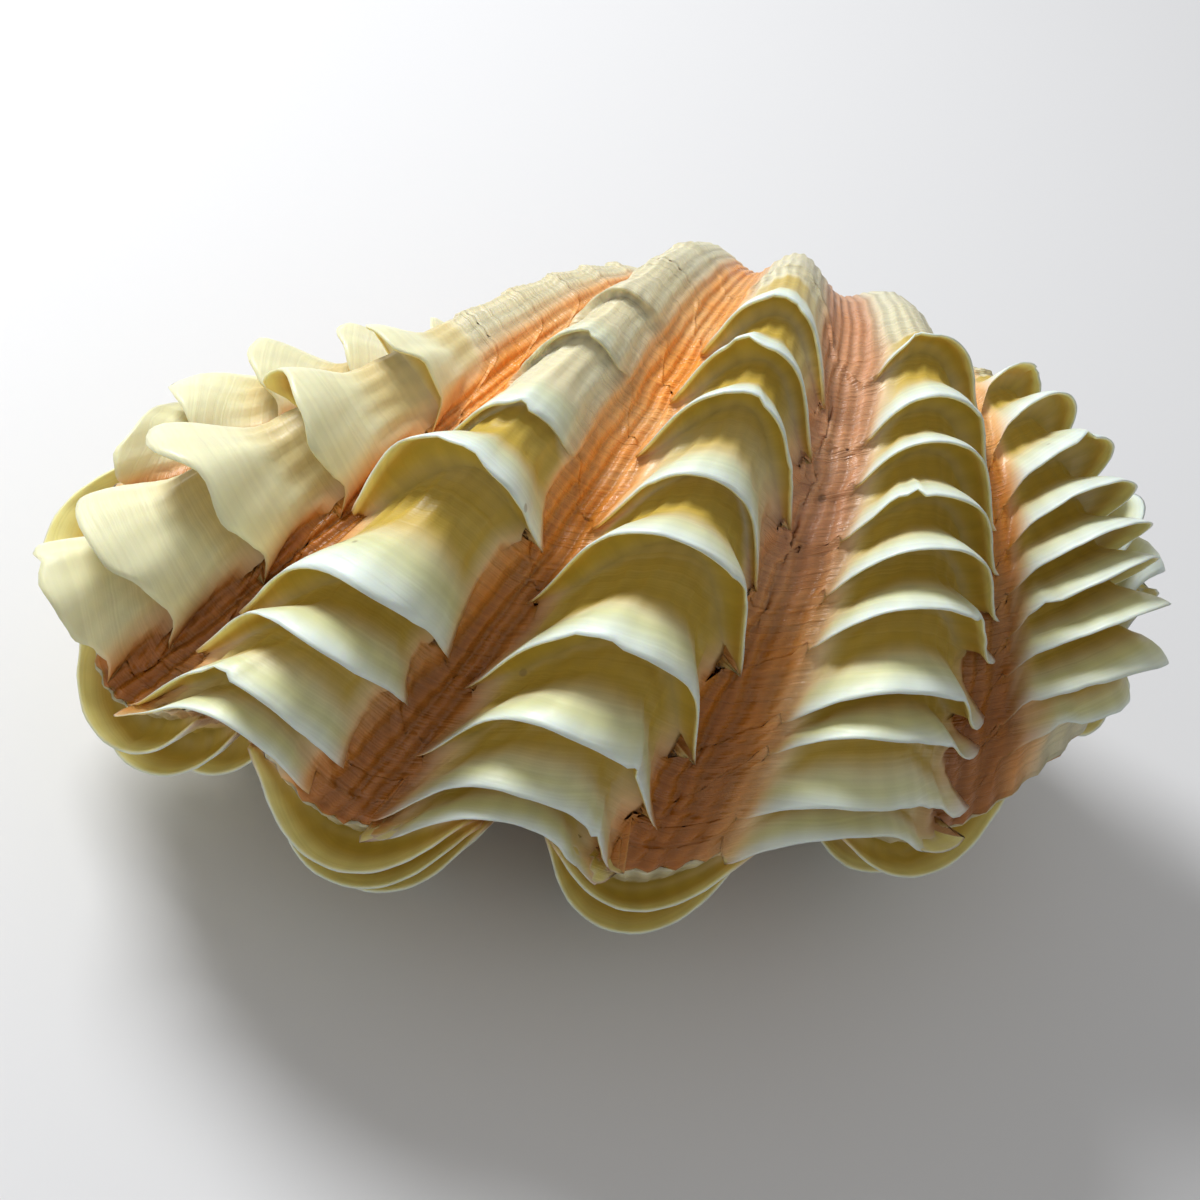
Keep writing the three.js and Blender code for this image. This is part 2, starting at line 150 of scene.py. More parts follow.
LEVEL = (0.0, 0.0)
BLUNT = (0.1, 0.1)
EVEN_SPAN = (-0.4, 0.0, 0.4)
UPPER_RIBS = (
    rib_leaves((0.96, 0.88, 0.8, 0.71, 0.62), (7, 8, 8, 7, 5), 10, (-0.36, 0.08, 0.38), LEVEL, LEVEL, 1.0),
    rib_leaves(
        (0.985, 0.915, 0.832, 0.753, 0.66), (8, 11, 12, 9, 7), 12,
        (-0.24, 0.06, 0.4), LEVEL, (0.2, 0.3), 1.0,
    ),
    rib_leaves(
        (0.995, 0.96, 0.894, 0.851, 0.745, 0.68, 0.6, 0.54), (6, 8, 10, 10, 12, 3, 2.5, 2), 5,
        (-0.36, 0.05, 0.32), (0.1, 0.0), (0.2, 0.5),
    ),
    rib_leaves(
        (0.995, 0.961, 0.899, 0.838, 0.761, 0.7, 0.637, 0.585, 0.53), (7, 9, 11, 12, 12, 5, 7, 6, 5), 4.5,
        (-0.4, -0.06, 0.36), (0.09, 0.11), (0.15, 0.6),
    ),
    rib_leaves(
        (0.99, 0.94, 0.875, 0.843, 0.78, 0.731, 0.683, 0.635, 0.59, 0.52),
        (8, 9, 10, 10, 10, 10, 9, 8, 7, 6), 4,
        (-0.3, -0.02, 0.4), (0.05, 0.08), (0.0, 1.0),
    ),
    rib_leaves(
        (0.925, 0.87, 0.811, 0.76, 0.713, 0.663, 0.607, 0.53, 0.46), (6, 11, 13, 13, 13, 12, 11, 9, 7), 4,
        (-0.4, -0.08, 0.28), (0.0, 0.1), (0.0, 0.8),
    ),
    rib_leaves(
        (0.97, 0.9, 0.83, 0.76, 0.69, 0.61, 0.54, 0.46), (12, 12, 12, 11, 10, 9, 7, 6), 4,
        (-0.38, 0.0, 0.38), (0.03, 0.03), BLUNT,
    ),
)
LOWER_RIBS = (
    rib_leaves((0.96, 0.86, 0.76, 0.65), (8, 8, 7, 6), 5, EVEN_SPAN, (0.03, 0.03), (0.2, 0.2)),
    rib_leaves((0.985, 0.91, 0.81, 0.7), (11, 11, 10, 8), 7, EVEN_SPAN, (0.03, 0.03), (0.2, 0.2)),
    rib_leaves(
        (0.97, 0.91, 0.84, 0.76, 0.67, 0.58), (8, 10, 10, 9, 8, 6), 6,
        EVEN_SPAN, (0.05, 0.05), BLUNT,
    ),
    rib_leaves(
        (0.975, 0.925, 0.87, 0.8, 0.72, 0.63, 0.54), (8, 9, 9, 9, 8, 7, 6), 6,
        EVEN_SPAN, (0.05, 0.05), BLUNT,
    ),
    rib_leaves((0.94, 0.87, 0.8, 0.72, 0.64, 0.55), (6, 9, 9, 8, 7, 6), 5, EVEN_SPAN, (0.05, 0.05), BLUNT),
    rib_leaves((0.9, 0.83, 0.76, 0.68, 0.6, 0.51), (7, 10, 10, 9, 8, 6), 5, EVEN_SPAN, (0.04, 0.04), BLUNT),
    rib_leaves(
        (0.93, 0.86, 0.78, 0.7, 0.61, 0.52), (8, 11, 10, 9, 8, 6), 5,
        EVEN_SPAN, (0.03, 0.03), BLUNT,
    ),
    rib_leaves((0.95, 0.83, 0.71, 0.59), (8, 8, 7, 5), 5, (-0.36, 0.0, 0.36), (0.02, 0.02), (0.2, 0.2)),
)

# Rows of the surface between one growth stop and the next: up the hollow under a leaf to its
# lip, then down the leaf's face, which runs on as the bare rib as far as the next hollow
HOLLOW_ROWS = (0.0, 0.07, 0.25, 0.55, 0.82, 1.0)
FACE_ROWS = (1.0, 0.95, 0.88, 0.8, 0.71, 0.62, 0.53, 0.44, 0.34, 0.2)
MARGIN_ROWS = 4
BEAK_ROWS = 9
CAVITY_ROWS = 16
LEAST_POINTS = 1000

SPECK_COLOUR = (0.38, 0.27, 0.16)
HORN_DARK = (0.16, 0.09, 0.05)
HORN_BROWN = (0.42, 0.27, 0.15)
HORN_DRY = (0.55, 0.43, 0.28)

# The camera stands at these distances from the beak along its own right, up and forward directions
CAMERA_AZIMUTH = -0.6084
CAMERA_ELEVATION = 0.8234
CAMERA_ROLL = 0.5135
CAMERA_TO_BEAK = (47.065, 30.492, 516.952)
SENSOR_WIDTH = 36.0
LIGHT_TARGET = (0.0, 0.0, 0.05)
KEY_DIRECTION = (-0.42, 0.58, 0.7)
KEY_DISTANCE = 0.9
KEY_SIZE = 0.34
KEY_COLOUR = (0.97, 0.985, 1.0)
FILL_PLACE = (-0.9, -0.5, 0.5)
FILL_SIZE = 0.9
FILL_COLOUR = (1.0, 0.97, 0.92)
SKY_COLOUR = (0.94, 0.94, 0.94)
FLOOR_HALF = 3.0

LIGAMENT_SECTIONS = 72
LIGAMENT_SIDES = 40
LIGAMENT_CRACK = 0.12
LIGAMENT_FIBRE = 0.05
LIGAMENT_FIBRES = 9


# Shell geometry


def smooth(value):
    t = np.clip(value, 0.0, 1.0)
    return t * t * (3.0 - 2.0 * t)


def mix(a, b, t):
    return a + (b - a) * t


def unit(v):
    return v / np.maximum(np.linalg.norm(v, axis=-1, keepdims=True), 1e-9)


def scatter(*keys):
    """A fixed value from 0 to 1 for whole-number keys."""
    weights = (12.9898, 78.233)
    total = sum(np.asarray(key, float) * weight for key, weight in zip(keys, weights))
    value = np.sin(total) * 43758.5453
    return value - np.floor(value)


def ripple(x, seed):
    """Smooth noise from 0 to 1 along x. Each use has a seed of its own."""
    cell = np.floor(x)
    return mix(scatter(cell, seed), scatter(cell + 1, seed), smooth(x - cell))


def loop_angle(u):
    """Direction of a point of the loop from its centre: eased from rib to rib, even round the hinge."""
    first, last = RIB_DIRECTIONS[0] - END_RIB_SPACING, RIB_DIRECTIONS[-1] + END_RIB_SPACING
    stops = np.array([first, *RIB_DIRECTIONS, last])
    padded = np.concatenate([[2 * stops[0] - stops[1]], stops, [2 * stops[-1] - stops[-2]]])
    spans = len(stops) - 1
    place = np.clip(u - LOOP_START, 0.0, spans)
    i = np.minimum(np.floor(place).astype(int), spans - 1)
    t = place - i
    before, here, after, beyond = (padded[i + k] for k in range(4))
    slope_a, slope_b = (after - before) / 2, (beyond - here) / 2
    degrees = (
        (1 + 2 * t) * (1 - t) ** 2 * here
        + t * (1 - t) ** 2 * slope_a
        + t * t * (3 - 2 * t) * after
        + t * t * (t - 1) * slope_b
    )
    round_hinge = mix(stops[-1], stops[0] + 360.0, (u - HINGE_START) / (LOOP_END - HINGE_START))
    return np.radians(np.where(u > HINGE_START, round_hinge, degrees))


def over_ribs(u, start_fade, end_fade):
    """1 over the fluted part of the loop, falling to 0 at both its ends."""
    return smooth((u - LOOP_START) / start_fade) * smooth((HINGE_START - u) / end_fade)


def rib_strength(u):
    return over_ribs(u, RIB_FADE, RIB_FADE)


def unrolled(u, turn, side, inset=0.0):
    """A point of a valve before it is coiled up, in the hinge's own axes."""
    angle = loop_angle(u)
    out_x, out_y = np.cos(angle) / HALF_LENGTH, np.sin(angle) / HALF_WIDTH
    length = np.hypot(out_x, out_y)
    out_x, out_y = out_x / length, out_y / length
    strength = rib_strength(u)
    wave = np.cos(2 * np.pi * u) * strength
    if inset > 0:
        outward = -inset + 0.0 * u
    else:
        outward = (RIB_SWELL + RIB_RISE * 0.5 * side * wave) * strength * smooth(turn / RISE_TURN)
    px = LOOP_CENTRE[0] + HALF_LENGTH * np.cos(angle) + outward * out_x
    py = LOOP_CENTRE[1] + HALF_WIDTH * np.sin(angle) + outward * out_y
    t = (u - GAPE_CENTRE) / GAPE_HALF_LENGTH
    gape = np.where(np.abs(t) < 1, GAPE_HALF_HEIGHT * (1 - t * t) ** 2, 0.0)
    zigzag = ZIGZAG_HEIGHT * np.cos(2 * np.pi * u) * over_ribs(u, *ZIGZAG_FADES)
    pz = zigzag + side * gape * np.exp(-turn / GAPE_TURN)
    c, s = math.cos(HINGE_TURN), math.sin(HINGE_TURN)
    limit = HINGE_RADIUS + (HINGE_PLATE if inset > 0 else 0.0)
    vx = c * px + s * py
    d = s * px - c * py - limit
    vy = -limit - 0.5 * (d + np.sqrt(d * d + HINGE_EASE ** 2))
    if inset > 0:
        close = np.sqrt(np.maximum(0.0, 1 - np.minimum(turn / CAVITY_TURN, 1.0) ** 2))
        vx = mix(c * LOOP_CENTRE[0] + s * LOOP_CENTRE[1], vx, close)
        vy = mix(-s * LOOP_CENTRE[0] + c * LOOP_CENTRE[1], vy, close)
    return np.stack(np.broadcast_arrays(vx, vy, pz), -1)


def coiled(flat, turn, side):
    """Rolls unrolled points up about the hinge. The Grow Shell node tree does the same."""
    size = np.exp(-SHRINK * turn)
    a = side * turn
    y = (flat[..., 1] * np.cos(a) + flat[..., 2] * np.sin(a)) * size
    z = (-flat[..., 1] * np.sin(a) + flat[..., 2] * np.cos(a)) * size
    x = flat[..., 0] * size
    c, s = math.cos(HINGE_TURN), math.sin(HINGE_TURN)
    return np.stack([c * x - s * y, s * x + c * y, z], -1)


def uncoiled(point, turn, side):
    """The way back from a coiled point to the unrolled sheet."""
    c, s = math.cos(HINGE_TURN), math.sin(HINGE_TURN)
    grow = np.exp(SHRINK * turn)
    x = (c * point[..., 0] + s * point[..., 1]) * grow
    y = (-s * point[..., 0] + c * point[..., 1]) * grow
    z = point[..., 2] * grow
    a = side * turn
    return np.stack([x, y * np.cos(a) - z * np.sin(a), y * np.sin(a) + z * np.cos(a)], -1)


def surface(u, turn, side):
    return coiled(unrolled(u, turn, side), turn, side)


def surface_axes(u, turn, side):
    """Point, outward normal and the direction across the rib."""
    step = 0.002
    across = surface(u + step, turn, side) - surface(u - step, turn, side)
    growth = surface(u, turn - step, side) - surface(u, turn + step, side)
    return surface(u, turn, side), unit(np.cross(growth, across) * side), unit(across)


def growth_speed(u, turn, side):
    """How many millimetres the surface runs for each radian of growth."""
    step = 0.01
    return np.linalg.norm(surface(u, turn + step, side) - surface(u, turn, side), axis=-1) / step


def stops_of_ribs(ribs):
    """The turn and height of every rib's leaves. Ribs with fewer carry on with plain growth stops."""
    count = max(len(rib["sizes"]) for rib in ribs)
    turns, stands = [], []
    for rib in ribs:
        own = list(-np.log(np.array(rib["sizes"])) / SHRINK)
        heights = [float(height) for height in rib["stands"]]
        extra = count - len(own)
        last = own[-1]
        for i in range(1, extra + 1):
            own.append(mix(last, LAST_LEDGE_TURN, i / (extra + 1)))
            heights.append(PLAIN_STOP)
        turns.append(own)
        stands.append(heights)
    return np.array(turns), np.array(stands)


def column_ribs(u, ribs, first):
    """Which rib each column belongs to, and how that rib's leaves are shaped there."""
    place = np.clip(u - first, 0, len(ribs) - 1)
    nearest = np.floor(place + 0.5).astype(int)
    x = u - first - nearest

    def pick(key, at):
        return np.array([rib[key] for rib in ribs], float)[at]

    def far_from_peak(at, offset):
        left, peak, right = pick("left", at), pick("peak", at), pick("right", at)
        return np.where(offset < peak, (peak - offset) / (peak - left), (offset - peak) / (right - peak))

    def dip(at, offset):
        depth = np.where(offset < pick("peak", at), pick("dip_left", at), pick("dip_right", at))
        return depth * np.minimum(far_from_peak(at, offset), 1.15) ** 2

    other = np.clip(nearest + np.where(x < 0, -1, 1), 0, len(ribs) - 1)
    weight = 0.5 * smooth((np.abs(x) - 0.3) / 0.2) * (other != nearest)
    leftward = x < pick("peak", nearest)
    far = np.clip(far_from_peak(nearest, x), 0.0, 1.0)
    sharp = np.where(leftward, pick("sharp_left", nearest), pick("sharp_right", nearest))
    horned = (1 - 0.5 * smooth(far / 0.9)) * (1 - far ** 14.0)
    rounded = (1 - far ** 2.0) ** 1.15
    return dict(
        nearest=nearest, other=other, weight=weight, shape=mix(rounded, horned, sharp), sharp=sharp,
        dip=mix(dip(nearest, x), dip(other, x + nearest - other), weight),
        over=pick("over", nearest), tongue=pick("tongue", nearest), toward=np.where(leftward, -far, far),
    )


def ragged_lip(u, seed, tongue):
    """How far a lip falls short of its line: fine ripples and rare nicks, and waves on the tongues."""
    nicks = NICK_DEPTH * smooth((ripple(u * NICKS_PER_RIB, seed + 9) - NICK_RARITY) / NICK_SOFTNESS)
    nicks = nicks * (ripple(u * CRUMBS_PER_RIB, seed + 4) + 0.5)
    fine = LIP_RIPPLE * ripple(u * RIPPLES_PER_RIB, seed + 2)
    return nicks + fine + TONGUE_WAVE * tongue * ripple(u * WAVES_PER_RIB, seed + 6)


def growth_stops(u, side, ribs, rib, shape):
    """Lip, root, height and firmness of every growth stop, from the margin back to the beak."""
    turns, stands = stops_of_ribs(ribs)
    nearest, tongue = rib["nearest"], rib["tongue"]
    stops = []
    for j in range(turns.shape[1]):
        seed = nearest * 7 + j * 3 + (side < 0) * 101
        stand = stands[nearest, j]
        leafy = smooth((stand - LEAST_LEAF) / LEAF_RANGE)
        line = mix(turns[nearest, j], turns[rib["other"], j], rib["weight"]) - rib["dip"]
        line = line + LINE_WANDER * (ripple(u * 5.0, seed + 1) - 0.5) * (1 + leafy)
        size = np.exp(-SHRINK * line)
        speed = growth_speed(u, np.maximum(line, 0.0), side)
        share = stand / stands[nearest].max(axis=-1)
        over = rib["over"] * mix(1.0, share, tongue) * size * shape ** 0.75 * leafy / speed
        lip = line - tongue * over + ragged_lip(u, seed, tongue) * leafy * np.sqrt(shape) / speed
        past = mix(PAST_MARGIN, TONGUE_PAST_MARGIN, tongue)
        lip = np.maximum(lip, mix(LEAST_LIP_TURN, -past, smooth(2 * shape)))
        root = np.maximum(line + (1 - tongue) * over, LEAST_ROOT_TURN)
        if stops:
            root = np.maximum(root, stops[-1]["root"] + LEAST_SPACING)
        firm = smooth(stand * shape * leafy / FIRM_LEAF)
        lip = mix(root + LEDGE_LENGTH, np.minimum(lip, root - LEAST_REACH), firm)
        wave = mix(1.0, mix(0.93, 1.05, ripple(u * 3.0, seed)), leafy)
        dusky = smooth(1 - np.abs(u - DUSKY_GROOVE) / 0.45) * smooth((line - 0.3) / 0.3) * (side > 0)
        ledge = mix(LEDGE_HEIGHT + LEDGE_RIPPLE * ripple(u * 12.0, seed + 5), DUSKY_LEDGE, 0.8 * dusky)
        lift = stand * shape * wave + ledge
        stops.append(dict(lip=lip, root=root, lift=lift, firm=firm, stand=stand, leafy=leafy))
    return stops


class Sheet:
    """Rows of the outer surface of one valve, from the margin back to the beak."""

    def __init__(self, u):
        self.u = u
        self.rows = []

    def add(self, turn, lift=0.0, flare=0.0, lip=0.0, hollow=0.0, leaf=0.0, folded=0.0):
        zero = np.zeros_like(self.u)
        values = (turn, lift, flare, lip, hollow, leaf, folded)
        self.rows.append([zero + value for value in values])

    def add_leaf(self, rib, stop, following, edge):
        """The hollow under a leaf, its lip, and its face as far as the root of the following one."""
        lip, root, lift, firm = stop["lip"], stop["root"], stop["lift"], stop["firm"]
        thick = np.minimum(edge, 0.35 * lift)
        leaf = lift * stop["leafy"]
        out = rib["toward"] * np.abs(rib["toward"]) ** 3.0
        flare = out * mix(*FLARES, rib["sharp"]) * smooth(leaf / 1.5) * stop["stand"]
        for r in HOLLOW_ROWS:
            f = np.minimum((following - mix(root, lip, r)) / (following - lip), 1.0)
            above = lift * face_profile(f)
            under = np.maximum(above - thick * mix(1.6, 1.0, r), 0.0) * smooth(r / 0.1)
            under = mix(lift * smooth(r), under, firm)
            # This mask marks a leaf's underside, where the finish paints a glow near the lip and shade deep
            # in the hollow
            deep = smooth(r / 0.1) * smooth((leaf - 0.8) / 1.5)
            self.add(mix(root, lip, r), under, flare * f ** 3, lip=r, hollow=deep, leaf=leaf, folded=firm)
        for f in FACE_ROWS:
            self.add(mix(following, lip, f), lift * face_profile(f), flare * f ** 3, lip=f, leaf=leaf)

    def stacked(self):
        return [np.array(block) for block in zip(*self.rows)]


def face_profile(f):
    """Height of a leaf's face from the next hollow (0) to its lip (1): a valley, then a steep rise
    that curls over."""
    return 0.1 * f + 0.9 * smooth((f - 0.35) / 0.72)


def outer_sheet(u, side, ribs, rib, edge):
    """Turn, lift and the other values of every point of a valve's outer face."""
    on_ribs = over_ribs(u, LEAF_FADE, LEAF_FADE)
    stops = growth_stops(u, side, ribs, rib, rib["shape"] * on_ribs)
    roots = [stop["root"] for stop in stops]
    roots.append(roots[-1] + LAST_FACE)
    sheet = Sheet(u)
    for i in range(MARGIN_ROWS):
        sheet.add(roots[0] * i / MARGIN_ROWS)
    for stop, following in zip(stops, roots[1:]):
        sheet.add_leaf(rib, stop, following, edge)
    for i in range(BEAK_ROWS):
        sheet.add(mix(roots[-1], BEAK_TURN, i / (BEAK_ROWS - 1)))
    turn, *others = sheet.stacked()
    even = np.linspace(0, BEAK_TURN, turn.shape[0])[:, None]
    return [mix(even, turn, on_ribs)] + [block * on_ribs for block in others]


def trimmed(point, u, turn, side, floor):
    """Keeps a valve on its own side of the meeting line, and wears it level where the shell rests."""
    margin = surface(u, 0.0 * u, side)
    beyond = (point[..., 2] - margin[..., 2]) * side
    near = (turn < RISE_TURN) & (beyond < MARGIN_CLEARANCE)
    z = np.where(near, margin[..., 2] + MARGIN_CLEARANCE * side, point[..., 2])
    return np.concatenate([point[..., :2], np.maximum(z, floor)[..., None]], -1)


def sheet_faces(u, rows):
    """Squares of the closed sheet and triangles round its two ends, with their places round the loop."""
    columns = len(u)
    k = np.arange(columns)
    after = (k + 1) % columns
    u_after = np.where(after == 0, LOOP_END, u[after])
    first_end, last_end = rows * columns, rows * columns + 1
    last = (rows - 1) * columns
    quads = [
        np.stack([row + k, row + after, row + after + columns, row + k + columns], -1)
        for row in range(0, last, columns)
    ]
    quad_u = [np.stack([u, u_after, u_after, u], -1)] * (rows - 1)
    tris = [
        np.stack([first_end + 0 * k, after, k], -1),
        np.stack([last_end + 0 * k, last + k, last + after], -1),
    ]
    tri_u = [np.stack([u, u_after, u], -1), np.stack([u, u, u_after], -1)]
    return [np.concatenate(block) for block in (quads, tris, quad_u, tri_u)]


def sheet_mesh(name, points, faces, layers, turns):
    """A mesh from points in millimetres, with its point values and the growth UV map."""
    quads, tris, quad_u, tri_u = faces
    corners = np.concatenate([quads.ravel(), tris.ravel()])
    mesh = bpy.data.meshes.new(name)
    mesh.vertices.add(len(points))
    mesh.vertices.foreach_set("co", (points * MM).ravel())
    mesh.loops.add(len(corners))
    mesh.loops.foreach_set("vertex_index", corners)
    mesh.polygons.add(len(quads) + len(tris))
    starts = np.concatenate([np.arange(len(quads)) * 4, quads.size + np.arange(len(tris)) * 3])
    mesh.polygons.foreach_set("loop_start", starts)
    mesh.update(calc_edges=True)
    poles = dict(turn=(BEAK_TURN, CAVITY_TURN), inside=(0.0, 1.0))
    for key, block in layers.items():
        values = np.concatenate([block.ravel(), poles.get(key, (0.0, 0.0))]).astype(np.float32)
        mesh.attributes.new(key, "FLOAT", "POINT").data.foreach_set("value", values)
    corner_turn = np.concatenate([turns.ravel(), poles["turn"]])[corners]
    corner_u = np.concatenate([quad_u.ravel(), tri_u.ravel()])
    uv = np.stack([(corner_u + 1) / UV_LENGTH, corner_turn / UV_TURN], -1).astype(np.float32)
    mesh.uv_layers.new(name="growth").data.foreach_set("uv", uv.ravel())
    mesh.validate()
    return mesh


def valve_sheet(name, side, ribs, first, rib_columns, hinge_columns, edge):
    """The unrolled mesh of one whole valve, with what the node tree and the finish need."""
    u = np.concatenate([
        np.linspace(LOOP_START, HINGE_START, rib_columns, endpoint=False),
        np.linspace(HINGE_START, LOOP_END, hinge_columns, endpoint=False),
    ])
    rib = column_ribs(u, ribs, first)
    strength = rib_strength(u)
    turn, lift, flare, lip, hollow, leaf, folded = outer_sheet(u, side, ribs, rib, edge)
    point, normal, across = surface_axes(np.broadcast_to(u, turn.shape), turn, side)
    point = point + normal * lift[..., None] + across * flare[..., None]
    floor = -BEAK[2] + (0.0 if side > 0 else 0.5 * MEETING_GAP)
    point = trimmed(point, u, turn, side, floor)
    relief = (1 - folded) * strength * (1 - 0.85 * smooth(lift / RELIEF_LEAF))
    relief = relief * smooth((point[..., 2] - floor) / RELIEF_REST)

    inward = np.sin(0.5 * np.pi * np.arange(CAVITY_ROWS) / CAVITY_ROWS)[:, None]
    cavity_turn = CAVITY_TURN * inward + 0.0 * u
    cavity = unrolled(np.broadcast_to(u, cavity_turn.shape), cavity_turn, side, WALL)
    flat = np.concatenate([uncoiled(point, turn, side)[::-1], cavity])
    turns = np.concatenate([turn[::-1], cavity_turn])
    nothing = np.zeros(cavity_turn.shape)
    wave = np.cos(2 * np.pi * u) * strength * side

    def with_cavity(block, inner=nothing):
        return np.concatenate([block[::-1], inner])

    layers = dict(
        turn=turns,
        lip=with_cavity(lip),
        hollow=with_cavity(hollow),
        inside=with_cavity(np.zeros(turn.shape), nothing + 1),
        groove=np.broadcast_to(0.5 * (1 - wave) * strength, turns.shape),
        leaf=with_cavity(leaf),
        relief=with_cavity(relief),
        stage=turns + rib["dip"] * strength,
        around=np.broadcast_to(u, turns.shape),
    )
    points = np.concatenate([flat.reshape(-1, 3), [flat[0].mean(0), flat[-1].mean(0)]])
    faces = sheet_faces(u, len(flat))
    if side > 0:
        faces = [block[:, ::-1] for block in faces]
    return sheet_mesh(name, points, faces, layers, turns)


# Node helpers


def socket_of(node, name):
    return next(s for s in node.outputs if s.enabled and s.name == name)


class Tree:
    """Places nodes in one node tree. A value that is a socket is linked, any other is set."""

    def __init__(self, tree):
        self.tree = tree
        self.count = 0

    def node(self, kind, settings=None, **values):
        made = self.tree.nodes.new(kind)
        made.location = (200 * (self.count % 12), -260 * (self.count // 12))
        self.count += 1
        for key, value in (settings or {}).items():
            setattr(made, key, value)
        for key, value in values.items():
            index = int(key[1:]) if key[0] == "i" and key[1:].isdigit() else key.replace("_", " ")
            self.feed(made.inputs[index], value)
        return made

    def feed(self, socket, value):
        if isinstance(value, bpy.types.NodeSocket):
            self.tree.links.new(value, socket)
        else:
            socket.default_value = value

    def math(self, operation, a, b=0.0):
        return self.node("ShaderNodeMath", dict(operation=operation), i0=a, i1=b).outputs[0]

    def wave(self, turns):
        """A sine that repeats with every whole turn."""
        return self.math("SINE", self.math("MULTIPLY", turns, 2 * math.pi))

    def moved(self, vector, offset):
        made = self.node("ShaderNodeVectorMath", dict(operation="ADD"), i0=vector, i1=offset)
        return made.outputs["Vector"]

    def scaled(self, vector, scale):
        made = self.node("ShaderNodeVectorMath", dict(operation="SCALE"), i0=vector, Scale=scale)
        return made.outputs["Vector"]

    def ramp(self, value, low, high, to_low=0.0, to_high=1.0):
        made = self.node(
            "ShaderNodeMapRange", dict(interpolation_type="SMOOTHSTEP", clamp=True),
            i0=value, i1=low, i2=high, i3=to_low, i4=to_high,
        )
        return made.outputs[0]

    def blend(self, factor, a, b, kind="MIX"):
        made = self.node("ShaderNodeMix", dict(data_type="RGBA", blend_type=kind, clamp_factor=True))
        self.feed(made.inputs[0], factor)
        self.feed(made.inputs[6], a)
        self.feed(made.inputs[7], b)
        return made.outputs[2]

    def noise(self, vector, scale, detail=3.0, rough=0.5):
        made = self.node(
            "ShaderNodeTexNoise", dict(noise_dimensions="3D"),
            Vector=vector, Scale=scale, Detail=detail, Roughness=rough,
        )
        return made.outputs[0]


def new_group(name, kind, inputs, outputs):
    group = bpy.data.node_groups.new(name, kind)
    for label, socket, default in inputs:
        made = group.interface.new_socket(name=label, in_out="INPUT", socket_type=socket)
        if default is not None:
            made.default_value = default
    for label, socket in outputs:
        group.interface.new_socket(name=label, in_out="OUTPUT", socket_type=socket)
    tree = Tree(group)
    start = tree.node("NodeGroupInput")
    end = tree.node("NodeGroupOutput")
    return group, tree, start, end


def grow_shell_tree():
    """Coils an unrolled valve up by the spiral rule and raises its riblets and growth lines."""
    group, tree, start, end = new_group(
        "Grow Shell", "GeometryNodeTree",
        [
            ("Geometry", "NodeSocketGeometry", None),
            ("Shrink", "NodeSocketFloat", SHRINK),
            ("Side", "NodeSocketFloat", 1.0),
            ("Hinge Turn", "NodeSocketFloat", HINGE_TURN),
            ("Beak", "NodeSocketVector", (0.0, 0.0, 0.0)),
            ("Riblet Height", "NodeSocketFloat", 0.0),
            ("Riblets", "NodeSocketFloat", 12.0),
            ("Growth Line Height", "NodeSocketFloat", 0.0),
            ("Growth Lines", "NodeSocketFloat", 38.0),
            ("Unevenness", "NodeSocketFloat", 0.0),
            ("Finish", "NodeSocketMaterial", None),
        ],
        [("Geometry", "NodeSocketGeometry")],
    )
    given = start.outputs

    def named(name):
        made = tree.node("GeometryNodeInputNamedAttribute", dict(data_type="FLOAT"), Name=name)
        return socket_of(made, "Attribute")

    def rotated(vector, axis, angle):
        made = tree.node("ShaderNodeVectorRotate", dict(rotation_type=axis), Vector=vector, Angle=angle)
        return made.outputs[0]

    turn, stage, around, relief = named("turn"), named("stage"), named("around"), named("relief")
    flat = tree.node("GeometryNodeInputPosition").outputs[0]
    roll = tree.math("MULTIPLY", tree.math("MULTIPLY", turn, given["Side"]), -1.0)
    shrinking = tree.math("MULTIPLY", tree.math("MULTIPLY", turn, given["Shrink"]), -1.0)
    size = tree.math("EXPONENT", shrinking)
    shrunk = tree.scaled(rotated(flat, "X_AXIS", roll), size)
    placed = tree.moved(rotated(shrunk, "Z_AXIS", given["Hinge Turn"]), given["Beak"])
    coil = tree.node("GeometryNodeSetPosition", Geometry=given["Geometry"], Position=placed)

    here = tree.node("GeometryNodeInputPosition").outputs[0]
    normal = tree.node("GeometryNodeInputNormal").outputs[0]
    patches = tree.math("SUBTRACT", tree.noise(here, 90.0, detail=2.0), 0.5)
    drift = tree.math("MULTIPLY", patches, 0.9)
    riblet_wave = tree.wave(tree.math("ADD", tree.math("MULTIPLY", around, given["Riblets"]), drift))
    riblets = tree.math("MULTIPLY", riblet_wave, given["Riblet Height"])
    line_wave = tree.wave(tree.math("ADD", tree.math("MULTIPLY", stage, given["Growth Lines"]), drift))
    lines = tree.math("MULTIPLY", line_wave, given["Growth Line Height"])
    knobs = tree.math("SUBTRACT", tree.noise(here, 140.0, detail=4.0), 0.5)
    lumps = tree.math("MULTIPLY", knobs, given["Unevenness"])
    total = tree.math("ADD", tree.math("ADD", riblets, lines), lumps)
    masked = tree.math("MULTIPLY", tree.math("MULTIPLY", total, relief), size)
    offset = tree.scaled(normal, masked)
    raised = tree.node("GeometryNodeSetPosition", Geometry=coil.outputs[0], Offset=offset)
    real = tree.node("GeometryNodeRealizeInstances", Geometry=raised.outputs[0])
    finish = tree.node("GeometryNodeSetMaterial", Geometry=real.outputs[0], Material=given["Finish"])
    tree.feed(end.inputs[0], finish.outputs[0])
    return group


